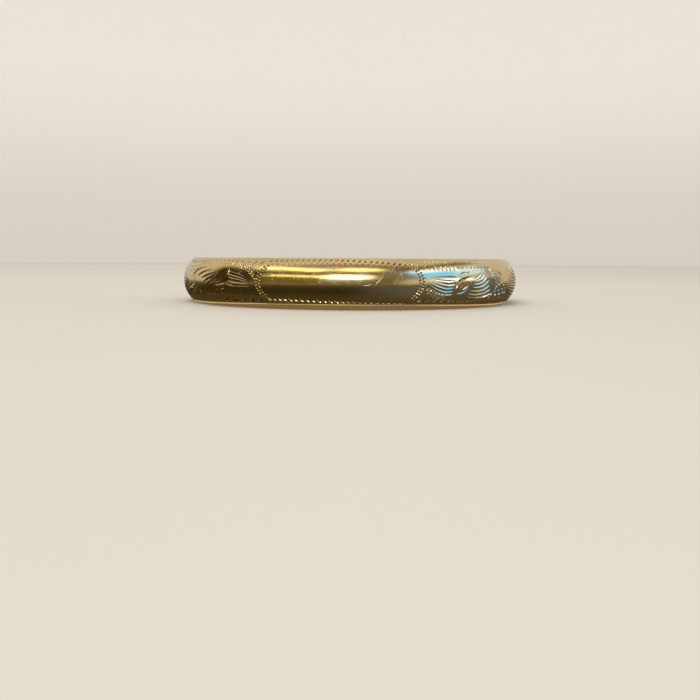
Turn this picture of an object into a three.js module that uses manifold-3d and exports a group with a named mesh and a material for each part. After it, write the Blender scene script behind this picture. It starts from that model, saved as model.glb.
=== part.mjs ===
// Hinged oval bangle bracelet, built from hollow half shells, in millimetres.
// The ring's axis is +Z and it lies on z = 0. The front half is at -Y, the hinge at -X and the clasp at +X.
import * as THREE from "three";
import { mergeVertices } from "three/addons/utils/BufferGeometryUtils.js";
import Module from "manifold-3d";

const wasm = await Module();
wasm.setup();

// Driving dimensions of the ring
const outerHalfLength = 33; // along X, at the crest of the dome
const outerHalfDepth = 30; // along Y
const bandWidth = 8.5; // along Z
const bandThickness = 3.2; // inner face to the crest of the dome
const sideHeight = 1.0; // flat side wall below the dome
const shellWall = 0.4;
const linerWall = 0.35;
const fitGap = 0.05; // between soldered pieces
const claspGap = 0.05; // each half stops this short of the joint plane at the clasp
const hingeGap = 0.15; // and this short of it at the hinge

const innerHalfLength = outerHalfLength - bandThickness;
const innerHalfDepth = outerHalfDepth - bandThickness;
const middle = bandWidth / 2;
const domeHeight = bandThickness - sideHeight;
const domeRadius = (middle ** 2 + domeHeight ** 2) / (2 * domeHeight);
const domeCentre = bandThickness - domeRadius; // height of the dome arc's centre above the inner face

// Hinge: five knuckles on one pin, let into the dome
const hingeX = -(outerHalfLength - 0.8);
const knuckleRadius = 1.1;
const knuckleBore = 0.5;
const knuckleCount = 5;
const knuckleSpacing = 1.0;
const knuckleClearance = 0.08;
const hingeBottom = middle - (knuckleCount * knuckleSpacing) / 2;
const coveRadius = 1.2;
const coveMargin = 0.36;
const pinRadius = 0.45;
const pinCapRadius = 0.62;
const pinCapHeight = 0.22;
const hingePlateStart = 1.4; // distance of the hinge end plate from the joint plane
const plateThickness = 0.5;

// Clasp: a folded spring tongue on the front half, and a mouth and tray in the back half
const tongueHalfWidth = 1.85;
const tongueInner = innerHalfLength + 0.65;
const leafThickness = 0.3;
const tongueRoot = -1.0;
const noseRadius = 0.315;
const noseY = 5.2;
const mouthHalfWidth = 1.95;
const mouthTop = tongueInner + 0.88;
const foldPivot = new THREE.Vector2(tongueInner + 0.34, 4.93);
const springLength = 4.2;
const springThickness = 0.28;
const springRise = THREE.MathUtils.degToRad(6.75);
const stemHalfWidth = 0.7;
const stemNotchHalfWidth = 0.85;
const notchHalfWidth = 1.2;
const notchLength = 2.9;
const trayWall = 0.2;
const trayEnd = 5.85;

// ---- solids ----

function toSolid(geometry) {
  const bare = geometry.index ? geometry.toNonIndexed() : geometry.clone();
  bare.deleteAttribute("normal");
  bare.deleteAttribute("uv");
  const merged = mergeVertices(bare, 1e-4);
  return new wasm.Manifold(
    new wasm.Mesh({
      numProp: 3,
      vertProperties: merged.attributes.position.array,
      triVerts: new Uint32Array(merged.index.array),
    }),
  );
}

function toGeometry(solid) {
  const mesh = solid.getMesh();
  const geometry = new THREE.BufferGeometry();
  geometry.setAttribute("position", new THREE.BufferAttribute(mesh.vertProperties, 3));
  geometry.setIndex(new THREE.BufferAttribute(mesh.triVerts, 1));
  geometry.computeVertexNormals();
  return geometry;
}

function cut(geometry, ...cutters) {
  return toGeometry(cutters.reduce((left, cutter) => left.subtract(toSolid(cutter)), toSolid(geometry)));
}

function join(...geometries) {
  return toGeometry(geometries.map(toSolid).reduce((sum, next) => sum.add(next)));
}

function box(low, high) {
  const size = high.map((value, axis) => value - low[axis]);
  const centre = high.map((value, axis) => (value + low[axis]) / 2);
  return new THREE.BoxGeometry(...size).translate(...centre);
}

function upright(radius, bottom, top, x = 0, y = 0, sides = 32) {
  const cylinder = new THREE.CylinderGeometry(radius, radius, top - bottom, sides);
  return cylinder.rotateX(Math.PI / 2).translate(x, y, (top + bottom) / 2);
}

// Bends a straight extrusion of a section (x is the height over the inner face, y is up the band)
// round the inner oval, from one angle to the other.
function bendRound(section, from, to, steps, curveSegments = 12) {
  const bent = new THREE.ExtrudeGeometry(section, { depth: 1, steps, bevelEnabled: false, curveSegments });
  const position = bent.attributes.position;
  for (let i = 0; i < position.count; i++) {
    const angle = to - (to - from) * position.getZ(i);
    const normal = new THREE.Vector2(Math.cos(angle) / innerHalfLength, Math.sin(angle) / innerHalfDepth);
    normal.normalize();
    position.setXYZ(
      i,
      innerHalfLength * Math.cos(angle) + position.getX(i) * normal.x,
      innerHalfDepth * Math.sin(angle) + position.getX(i) * normal.y,
      position.getY(i),
    );
  }
  return bent;
}

// ---- sections of the band ----

// Height and half angle of the dome arc at a distance inside the outer surface and the side faces
function domeArc(inset) {
  const radius = domeRadius - inset;
  const angle = Math.asin((middle - inset) / radius);
  return { radius, angle, foot: domeCentre + radius * Math.cos(angle) };
}

function shellSection() {
  const outside = domeArc(0);
  const inside = domeArc(shellWall);
  const section = new THREE.Shape();
  section.moveTo(0, 0);
  section.lineTo(sideHeight, 0);
  section.absarc(domeCentre, middle, outside.radius, -outside.angle, outside.angle, false);
  section.lineTo(0, bandWidth);
  section.lineTo(0, bandWidth - shellWall);
  section.lineTo(inside.foot, bandWidth - shellWall);
  section.absarc(domeCentre, middle, inside.radius, inside.angle, -inside.angle, true);
  section.lineTo(0, shellWall);
  section.closePath();
  return section;
}

function linerSection() {
  const edge = shellWall + fitGap;
  const section = new THREE.Shape();
  section.moveTo(0, edge);
  section.lineTo(linerWall, edge);
  section.lineTo(linerWall, bandWidth - edge);
  section.lineTo(0, bandWidth - edge);
  section.closePath();
  return section;
}

// A plate that fills the hollow between the liner and the dome
function plateSection() {
  const edge = shellWall + fitGap;
  const dome = domeArc(edge);
  const section = new THREE.Shape();
  section.moveTo(linerWall + fitGap, edge);
  section.lineTo(dome.foot, edge);
  section.absarc(domeCentre, middle, dome.radius, -dome.angle, dome.angle, false);
  section.lineTo(linerWall + fitGap, bandWidth - edge);
  section.closePath();
  return section;
}

// Angle round the inner oval at a small distance from the joint plane
const angleAt = (distance) => Math.asin(distance / innerHalfDepth);

// Start and end angles of a half, going anticlockwise; side is 1 for the back half and -1 for the front
function halfRange(side) {
  const nearClasp = angleAt(claspGap);
  const nearHinge = Math.PI - angleAt(hingeGap);
  return side > 0 ? [nearClasp, nearHinge] : [-nearHinge, -nearClasp];
}

function hingeCove() {
  const bottom = hingeBottom - coveMargin;
  const top = bandWidth - hingeBottom + coveMargin;
  return upright(coveRadius, bottom, top, hingeX, 0, 48);
}

function halfShell(side) {
  const [from, to] = halfRange(side);
  return bendRound(shellSection(), from, to, 40);
}

function halfLiner(side) {
  const [from, to] = halfRange(side);
  return bendRound(linerSection(), from, to, 40);
}

function hingeEndPlate(side) {
  const near = Math.PI - angleAt(hingePlateStart);
  const far = Math.PI - angleAt(hingePlateStart + plateThickness);
  return side > 0
    ? bendRound(plateSection(), far, near, 1)
    : bendRound(plateSection(), -near, -far, 1);
}

function claspEndPlate(side) {
  const near = angleAt(claspGap + fitGap);
  const far = angleAt(claspGap + fitGap + plateThickness);
  return side > 0
    ? bendRound(plateSection(), near, far, 1)
    : bendRound(plateSection(), -far, -near, 1);
}

// ---- hinge pieces ----

function knuckle(index, side) {
  const bottom = hingeBottom + index * knuckleSpacing + knuckleClearance / 2;
  const top = bottom + knuckleSpacing - knuckleClearance;
  const barrel = upright(knuckleRadius, bottom, top, hingeX, 0, 36);
  const webFar = side * (hingePlateStart - fitGap);
  const webNear = side * 0.6;
  const web = box(
    [hingeX + 0.4, Math.min(webFar, webNear), bottom],
    [hingeX + 0.9, Math.max(webFar, webNear), top],
  );
  return cut(join(barrel, web), upright(knuckleBore, bottom - 1, top + 1, hingeX, 0, 36));
}

const pinBottom = hingeBottom - 0.02;
const pinTop = bandWidth - pinBottom;

function hingePin() {
  return upright(pinRadius, pinBottom, pinTop, hingeX, 0, 36);
}

// A shallow domed cap over one end of the pin; direction is 1 for the upper end
function pinCap(direction) {
  const profile = [new THREE.Vector2(0, 0), new THREE.Vector2(pinCapRadius, 0)];
  const arcSteps = 5;
  for (let i = 1; i <= arcSteps; i++) {
    const angle = (i / arcSteps) * (Math.PI / 2);
    const radius = i === arcSteps ? 0 : pinCapRadius * Math.cos(angle);
    profile.push(new THREE.Vector2(radius, pinCapHeight * Math.sin(angle)));
  }
  const cap = new THREE.LatheGeometry(profile, 24).rotateX((direction * Math.PI) / 2);
  const height = direction > 0 ? pinTop + fitGap : pinBottom - fitGap;
  return cap.translate(hingeX, 0, height);
}

// ---- clasp pieces ----

function extrudeUp(outline, halfWidth) {
  const geometry = new THREE.ExtrudeGeometry(outline, {
    depth: 2 * halfWidth,
    bevelEnabled: false,
    curveSegments: 8,
  });
  return geometry.translate(0, 0, middle - halfWidth);
}

// The fixed leaf of the tongue, with the fold at its nose
function tongueBase() {
  const outer = tongueInner + 2 * noseRadius;
  const outline = new THREE.Shape();
  outline.moveTo(tongueInner, tongueRoot);
  outline.lineTo(tongueInner + leafThickness, tongueRoot);
  outline.lineTo(tongueInner + leafThickness, noseY - 0.06);
  outline.lineTo(outer, noseY - 0.06);
  outline.lineTo(outer, noseY);
  outline.absarc(tongueInner + noseRadius, noseY, noseRadius, 0, Math.PI, false);
  outline.closePath();
  return extrudeUp(outline, tongueHalfWidth);
}

// The sprung leaf, flat, in a frame with its origin at the fold and its free end at -Y
function springLeaf() {
  const outline = new THREE.Shape();
  outline.moveTo(0, 0);
  outline.lineTo(0, -springLength);
  outline.lineTo(springThickness, -springLength);
  outline.lineTo(springThickness, 0);
  outline.absarc(springThickness / 2, 0, springThickness / 2, 0, Math.PI, false);
  return extrudeUp(outline, tongueHalfWidth);
}

// The thumb piece in the same frame: a stem that stands on the leaf and an oval head above the dome
function thumbTab() {
  const headY = -springLength + 0.75;
  const stem = box(
    [springThickness + fitGap, headY - 0.5, middle - stemHalfWidth],
    [1.85, headY + 0.5, middle + stemHalfWidth],
  );
  const head = new THREE.CylinderGeometry(0.88, 1.0, 0.36, 32);
  head.rotateZ(-Math.PI / 2).scale(1, 0.85, 1).translate(1.94, headY, middle);
  return join(stem, head);
}

function trayInBackHalf() {
  const low = innerHalfLength + linerWall + fitGap;
  const cheekTop = mouthTop - 0.05;
  const start = claspGap + fitGap + plateThickness + fitGap;
  const side = mouthHalfWidth + 0.05;
  const floor = box([low, start, middle - side - trayWall], [low + trayWall, trayEnd, middle + side + trayWall]);
  const lowerCheek = box([low, start, middle - side - trayWall], [cheekTop, trayEnd, middle - side]);
  const upperCheek = box([low, start, middle + side], [cheekTop, trayEnd, middle + side + trayWall]);
  const stop = box([low, trayEnd - trayWall, middle - side], [cheekTop - 0.25, trayEnd, middle + side]);
  return join(floor, lowerCheek, upperCheek, stop);
}

function catchPlate() {
  const mouth = box(
    [tongueInner - 0.06, -1, middle - mouthHalfWidth],
    [mouthTop, 1.5, middle + mouthHalfWidth],
  );
  const stemNotch = box(
    [mouthTop - 0.1, -1, middle - stemNotchHalfWidth],
    [outerHalfLength + 1, 1.5, middle + stemNotchHalfWidth],
  );
  return cut(claspEndPlate(1), mouth, stemNotch);
}

function tonguePlate() {
  const slot = box(
    [tongueInner - fitGap, -1.5, middle - tongueHalfWidth - fitGap],
    [tongueInner + leafThickness + fitGap, 1, middle + tongueHalfWidth + fitGap],
  );
  return cut(claspEndPlate(-1), slot);
}

function thumbNotch() {
  return box(
    [innerHalfLength + 1.6, -1, middle - notchHalfWidth],
    [outerHalfLength + 1, notchLength, middle + notchHalfWidth],
  );
}

// ---- the assembly ----

const polishedGold = new THREE.MeshStandardMaterial({ color: 0xd9b45f, roughness: 0.15, metalness: 1 });
const satinGold = new THREE.MeshStandardMaterial({ color: 0xc9a458, roughness: 0.35, metalness: 1 });
const springGold = new THREE.MeshStandardMaterial({ color: 0xbf9c5a, roughness: 0.3, metalness: 1 });

function piece(name, geometry, material) {
  const mesh = new THREE.Mesh(geometry, material);
  mesh.name = name;
  return mesh;
}

const frontHalf = new THREE.Group();
frontHalf.add(
  piece("front_outer_shell", cut(halfShell(-1), hingeCove()), polishedGold),
  piece("front_inner_liner", halfLiner(-1), satinGold),
  piece("front_hinge_end_plate", hingeEndPlate(-1), satinGold),
  piece("tongue_end_plate", tonguePlate(), satinGold),
  piece("tongue_base_leaf", tongueBase(), springGold),
  piece("hinge_pin", hingePin(), springGold),
  piece("hinge_pin_cap_lower", pinCap(-1), polishedGold),
  piece("hinge_pin_cap_upper", pinCap(1), polishedGold),
);

const springTongue = new THREE.Group();
springTongue.position.set(foldPivot.x, foldPivot.y, 0);
springTongue.rotation.z = springRise;
springTongue.add(
  piece("tongue_spring_leaf", springLeaf(), springGold),
  piece("thumb_tab", thumbTab(), polishedGold),
);
frontHalf.add(springTongue);

const backHalf = new THREE.Group();
backHalf.add(
  piece("back_outer_shell", cut(halfShell(1), hingeCove(), thumbNotch()), polishedGold),
  piece("back_inner_liner", halfLiner(1), satinGold),
  piece("back_hinge_end_plate", hingeEndPlate(1), satinGold),
  piece("catch_plate", catchPlate(), satinGold),
  piece("clasp_tray", trayInBackHalf(), satinGold),
);

for (let index = 0; index < knuckleCount; index++) {
  const onFront = index % 2 === 0;
  const half = onFront ? frontHalf : backHalf;
  const name = `${onFront ? "front" : "back"}_hinge_knuckle_${index + 1}`;
  half.add(piece(name, knuckle(index, onFront ? -1 : 1), polishedGold));
}

const bangle = new THREE.Group();
bangle.add(frontHalf, backHalf);

export default bangle;
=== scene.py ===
import math
import random

import bmesh
import bpy
import numpy as np
from mathutils import Matrix, Vector
from mathutils.geometry import delaunay_2d_cdt


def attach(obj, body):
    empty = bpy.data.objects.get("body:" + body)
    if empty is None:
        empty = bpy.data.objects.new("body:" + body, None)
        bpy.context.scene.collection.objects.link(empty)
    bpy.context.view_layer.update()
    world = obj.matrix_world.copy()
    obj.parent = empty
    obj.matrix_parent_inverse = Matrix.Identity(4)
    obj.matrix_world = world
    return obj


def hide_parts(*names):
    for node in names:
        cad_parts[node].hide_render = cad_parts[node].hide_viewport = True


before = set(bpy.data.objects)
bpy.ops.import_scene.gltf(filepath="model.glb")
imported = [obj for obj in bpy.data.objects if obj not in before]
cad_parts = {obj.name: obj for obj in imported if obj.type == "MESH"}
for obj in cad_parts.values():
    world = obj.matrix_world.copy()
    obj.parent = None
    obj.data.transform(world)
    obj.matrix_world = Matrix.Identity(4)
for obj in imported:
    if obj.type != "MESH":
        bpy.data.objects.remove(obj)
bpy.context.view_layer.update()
mm = 0.001
chance = random.Random(41)

# The band's shape
band = {
    "innerLength": 29.8,  # half of the inner oval, side to side
    "innerDepth": 26.8,  # half of it, front to back
    "width": 8.5,
    "thickness": 3.2,  # inner face to crest
    "side": 1.0,  # flat side wall below the dome
    "wall": 0.4,
    "linerWall": 0.35,
    "edgeRound": 0.16,  # where the side wall meets the dome
    "lipRound": 0.1,
    "claspGap": 0.05,
    "hingeGap": 0.15,
    "stations": 150,
    "domeRows": 30,
}
hinge = {
    "x": -32.2, "knuckle": 1.1, "bore": 0.5, "pin": 0.45, "cap": 0.62, "capHeight": 0.22,
    "cove": 1.2, "coveBottom": 1.39, "coveTop": 7.11,
    "bottom": 1.75, "spacing": 1.0, "clearance": 0.08, "count": 5, "sides": 64,
}
notch = {"halfWidth": 1.2, "length": 2.9}  # let into the back half for the thumb piece
step = 0.004  # rows this close on either side of a step in an end

middle = band["width"] / 2
domeHeight = band["thickness"] - band["side"]
domeRadius = (middle ** 2 + domeHeight ** 2) / (2 * domeHeight)
domeCentre = band["thickness"] - domeRadius


def ovalNormal(angle):
    nx, ny = np.cos(angle) / band["innerLength"], np.sin(angle) / band["innerDepth"]
    size = np.hypot(nx, ny)
    return nx / size, ny / size


def onBand(angle, height, z):  # a point at some height above the inner face
    nx, ny = ovalNormal(angle)
    x = band["innerLength"] * np.cos(angle) + height * nx
    y = band["innerDepth"] * np.sin(angle) + height * ny
    return np.stack(np.broadcast_arrays(x, y, z), -1)


def tilted(angle, tilt):  # the direction that leans by tilt up from the outward one
    nx, ny = ovalNormal(angle)
    return np.stack(np.broadcast_arrays(nx * np.cos(tilt), ny * np.cos(tilt), np.sin(tilt)), -1)


# Distance along the crest from the front's centre, towards +X, against the oval's angle
crestAngle = np.linspace(-math.pi - 0.1, 0.1, 6001)
crestPoint = onBand(crestAngle, band["thickness"], middle)
crestRun = np.concatenate([[0], np.cumsum(np.linalg.norm(np.diff(crestPoint, axis=0), axis=1))])
crestRun -= np.interp(-math.pi / 2, crestAngle, crestRun)


def runOf(angle):
    return np.interp(angle, crestAngle, crestRun)


def angleOf(run):
    return np.interp(run, crestRun, crestAngle)


def bisect(test, low, high):  # the angle where test turns from true at low to false at high
    for _ in range(40):
        centre = (low + high) / 2
        passed = test(centre)
        low, high = np.where(passed, centre, low), np.where(passed, high, centre)
    return low


def inCove(z):
    return (z > hinge["coveBottom"]) & (z < hinge["coveTop"])


def inNotch(z):
    return abs(z - middle) < notch["halfWidth"]


def hingeEnd(height, rowZ):  # where a row of the shell stops beside the hinge, for the back half
    plain = math.pi - math.asin(band["hingeGap"] / band["innerDepth"])

    def clear(angle):
        point = onBand(angle, height, 0)
        return np.hypot(point[..., 0] - hinge["x"], point[..., 1]) > hinge["cove"]

    coved = bisect(clear, np.full_like(height, math.pi - 0.2), np.full_like(height, math.pi))
    return np.where(inCove(rowZ), np.minimum(coved, plain), plain)


def claspEnd(height, rowZ, notched):
    plain = math.asin(band["claspGap"] / band["innerDepth"])
    if not notched:
        return np.full_like(height, plain)

    def beyond(angle):
        return onBand(angle, height, 0)[..., 1] > notch["length"]

    cut = bisect(beyond, np.full_like(height, 0.4), np.zeros_like(height))
    return np.where(inNotch(rowZ) & (height > 1.6), cut, plain)


def addMesh(name, vertices, faces, normals=None, attributes=None):
    mesh = bpy.data.meshes.new(name)
    mesh.from_pydata([tuple(v * mm) for v in np.asarray(vertices)], [], faces)
    mesh.polygons.foreach_set("use_smooth", [True] * len(mesh.polygons))
    for key, values in (attributes or {}).items():
        values = np.asarray(values, np.float32)
        kind = "FLOAT" if values.ndim == 1 else "FLOAT_VECTOR"
        layer = mesh.attributes.new(key, kind, "POINT")
        layer.data.foreach_set("value" if values.ndim == 1 else "vector", values.ravel())
    if normals is not None:
        mesh.normals_split_custom_set(np.asarray(normals, np.float32))
    made = bpy.data.objects.new(name, mesh)
    bpy.context.scene.collection.objects.link(made)
    return made


def shellSection():  # the shell's outer and inner outlines, point for point, from lower lip to upper
    wall, lip, edge = band["wall"], band["lipRound"], band["edgeRound"]
    edgeCentre = domeCentre + math.sqrt((domeRadius - edge) ** 2 - (middle - edge) ** 2)
    domeStart = math.asin((edge - middle) / (domeRadius - edge))
    outline = [(0, wall, math.pi)]  # height, z and tilt of the surface
    for turn in np.linspace(math.pi, 1.5 * math.pi, 5):
        outline.append((lip + lip * math.cos(turn), lip + lip * math.sin(turn), turn))
    for turn in np.linspace(-math.pi / 2, domeStart, 6)[:-1]:
        outline.append((edgeCentre + edge * math.cos(turn), edge + edge * math.sin(turn), turn))
    tilts = list(np.linspace(domeStart, -domeStart, band["domeRows"]))
    notchEdges = [middle - notch["halfWidth"], middle + notch["halfWidth"]]
    for level in [hinge["coveBottom"], hinge["coveTop"]] + notchEdges:
        tilts += [math.asin((level + shift - middle) / domeRadius) for shift in (-step, step)]
    tilts.sort()
    upper = [(h, band["width"] - z, -t) for h, z, t in reversed(outline)]
    dome = [(domeCentre + domeRadius * math.cos(t), middle + domeRadius * math.sin(t), t) for t in tilts]
    outer = np.array(outline + dome + upper)

    innerRadius = domeRadius - wall
    innerTilt = math.asin((middle - wall) / innerRadius)
    foot = domeCentre + innerRadius * math.cos(innerTilt)
    share = np.linspace(0, 1, len(outline) + 1)[:-1]
    lower = [(foot * s, wall) for s in share]
    arc = [innerTilt * t / -domeStart for t in tilts]
    arch = [(domeCentre + innerRadius * math.cos(t), middle + innerRadius * math.sin(t)) for t in arc]
    inner = np.array(lower + arch + [(h, band["width"] - z) for h, z in reversed(lower)])
    return outer, inner, len(outline), len(tilts)


outer, inner, domeFirst, domeCount = shellSection()
domeRowsAt = slice(domeFirst, domeFirst + domeCount)


def shellAngles(side, outline, notched):  # oval angle of each station (first index) and outline point
    start = claspEnd(outline[:, 0], outer[:, 1], notched)
    end = hingeEnd(outline[:, 0], outer[:, 1])
    share = np.linspace(0, 1, band["stations"] + 1)[:, None]
    return side * (start + (end - start) * share)


def quads(a, b, c, d):
    return np.stack([a, b, c, d], -1).reshape(-1, 4)


def turned(faces, vertices, expected):  # flips a patch whose first face looks the wrong way
    first = vertices[faces[0]]
    across = first[2] - first[0]
    normal = np.cross(first[1] - first[0], across) + np.cross(across, first[-1] - first[0])
    return faces if normal @ expected > 0 else faces[:, ::-1]


def flatNormals(vertices, faces):
    corners = vertices[faces]
    normal = np.cross(corners[:, 2] - corners[:, 0], corners[:, -1] - corners[:, 1])
    return normal / np.maximum(np.linalg.norm(normal, axis=1, keepdims=True), 1e-12)


def buildShell(name, side, notched, cutPatch=None):
    count = len(outer)
    outerAngle = shellAngles(side, outer, notched)
    innerAngle = shellAngles(side, inner, notched)
    outerPoint = onBand(outerAngle, outer[:, 0], outer[:, 1])
    innerPoint = onBand(innerAngle, inner[:, 0], inner[:, 1])
    outerNormal = tilted(outerAngle, outer[:, 2])
    stations = band["stations"] + 1
    vertices = np.concatenate([outerPoint.reshape(-1, 3), innerPoint.reshape(-1, 3)])
    outerId = np.arange(stations * count).reshape(stations, count)
    innerId = outerId + stations * count
    innerId[:, 0], innerId[:, -1] = outerId[:, 0], outerId[:, -1]
    arc = np.broadcast_to(outer[:, 2] * domeRadius, outerAngle.shape)
    outerPlace = np.stack([runOf(-abs(outerAngle)), arc, 0 * outerAngle], -1).reshape(-1, 3)
    place = np.concatenate([outerPlace, np.zeros((stations * count, 3))])
    faces, normals = [], []

    def add(patch, expected, smooth=False):
        patch = turned(patch, vertices, expected)
        faces.extend(patch.tolist())
        if smooth:
            normals.append(outerNormal.reshape(-1, 3)[patch.ravel()])
        else:
            normals.append(np.repeat(flatNormals(vertices, patch), patch.shape[1], 0))

    def strip(ids, first, last):
        near, far = ids[:, first:last], ids[:, first + 1:last + 1]
        return quads(near[:-1], far[:-1], far[1:], near[1:])

    domeLast = domeFirst + domeCount - 1
    spans = [(0, 1, False), (1, domeFirst, True), (domeLast, count - 2, True), (count - 2, count - 1, False)]
    if cutPatch is None:
        spans[1:3] = [(1, count - 2, True)]
    for first, last, smooth in spans:
        at = (0, first)
        add(strip(outerId, first, last), outerNormal[at] if smooth or first else outerNormal[0, 1], smooth)
    add(strip(innerId, 0, domeFirst), np.array([0, 0, 1.0]))
    add(strip(innerId, domeFirst, domeLast), -tilted(innerAngle[0, domeFirst], outer[domeFirst, 2]))
    add(strip(innerId, domeLast, count - 1), np.array([0, 0, -1.0]))
    for station, sign in ((0, -1), (-1, 1)):
        o, i = outerId[station], innerId[station]
        near, far = (-2, -1) if station else (0, 1)
        along = sign * (outerPoint[far, 0] - outerPoint[near, 0])
        ends = quads(o[1:-2], o[2:-1], i[2:-1], i[1:-2])
        add(ends, along)
        add(np.array([[o[0], o[1], i[1]]]), along)
        add(np.array([[o[-2], o[-1], i[-2]]]), along)
    recess = np.zeros(len(vertices))

    if cutPatch is not None:
        border = {"low": outerId[:, domeFirst], "high": outerId[:, domeLast],
                  "clasp": outerId[0, domeRowsAt], "hinge": outerId[-1, domeRowsAt]}
        more, patch, patchNormals, morePlace, moreRecess = cutPatch(border, outerAngle, len(vertices))
        vertices = np.concatenate([vertices, more])
        place = np.concatenate([place, morePlace])
        recess = np.concatenate([recess, moreRecess])
        faces.extend(patch.tolist())
        normals.append(patchNormals)
    used = np.zeros(len(vertices), bool)
    used[np.concatenate([np.ravel(f) for f in faces])] = True
    renumber = np.cumsum(used) - 1
    faces = [[int(renumber[v]) for v in face] for face in faces]
    attributes = {"place": place[used], "recess": recess[used]}
    return addMesh(name, vertices[used], faces, np.concatenate(normals), attributes)


# The engraving is laid out on the front as (distance along the crest, height up the band)
graver = {
    "segment": 0.22,  # length of one facet of a long cut
    "opening": 0.7, "closing": 0.5,  # how bluntly a cut starts and ends
    "pitSides": 10,
    "clear": 0.12,  # from a cut to the border of the dome
    "gridAlong": 0.5, "gridAcross": 0.33,
}
cuts = []
turnCentre = 4.65  # the left panel is the right one turned half round about this height


def toDome(points):
    points = np.atleast_2d(np.asarray(points, float))
    lift = np.clip((points[:, 1] - middle) / domeRadius, -0.99, 0.99)
    return np.stack([points[:, 0], domeRadius * np.arcsin(lift)], -1)


def placed(points, panel):  # panel 1 is to the right of the front's centre, -1 to the left
    points = np.atleast_2d(np.asarray(points, float))
    return points if panel > 0 else np.stack([-points[:, 0], 2 * turnCentre - points[:, 1]], -1)


def throughPoints(points, share):  # a smooth line through two or three points
    if len(points) == 2:
        return points[0] + share[:, None] * (points[1] - points[0])
    t = share[:, None]
    return (1 - t) * (1 - 2 * t) * points[0] + 4 * t * (1 - t) * points[1] + t * (2 * t - 1) * points[2]


def stroke(points, width, depth, lean=0.0, widest=0.6, panel=1):  # one tapered graver cut with a V section
    points = toDome(placed(points, panel))
    length = np.linalg.norm(np.diff(points, axis=0), axis=1).sum()
    count = max(4, int(length / graver["segment"]) + 1)
    share = np.linspace(0, 1, count)
    line = throughPoints(points, share)
    ahead = np.gradient(line, axis=0)
    ahead /= np.linalg.norm(ahead, axis=1, keepdims=True)
    across = np.stack([-ahead[:, 1], ahead[:, 0]], -1)
    opening, closing = share / widest, np.clip(1 - share, 0, 1) / (1 - widest)
    swell = np.where(share < widest, opening ** graver["opening"], closing ** graver["closing"])
    left, right = swell * width * (1 + lean) / 2, swell * width * (1 - lean) / 2
    cuts.append({"line": line, "left": left, "right": right, "depth": depth * swell,
                 "edges": [line + across * left[:, None], line - across * right[:, None]]})


def pit(point, radius, depth, panel=1):  # one mark of a pointed punch
    centre = toDome(placed(point, panel))[0]
    turn = np.linspace(0, 2 * math.pi, graver["pitSides"], endpoint=False) + chance.random()
    ring = centre + radius * np.stack([np.cos(turn), np.sin(turn)], -1)
    cuts.append({"centre": centre, "radius": radius, "deep": depth, "ring": ring})


def alongLine(points, spacing, phase=0.0):  # evenly spaced places on a smoothed line through many points
    points = np.asarray(points, float)
    fine = np.linspace(0, len(points) - 1, 40 * len(points))
    whole = np.arange(len(points))
    smooth = np.stack([np.interp(fine, whole, points[:, k]) for k in (0, 1)], -1)
    reach = 15
    kernel = np.ones(2 * reach + 1) / (2 * reach + 1)
    padded = np.pad(smooth, ((reach, reach), (0, 0)), "edge")
    smooth = np.stack([np.convolve(padded[:, k], kernel, "valid") for k in (0, 1)], -1)
    run = np.concatenate([[0], np.cumsum(np.linalg.norm(np.diff(smooth, axis=0), axis=1))])
    for at in np.arange(phase * spacing, run[-1], spacing):
        yield np.array([np.interp(at, run, smooth[:, k]) for k in (0, 1)])


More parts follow.
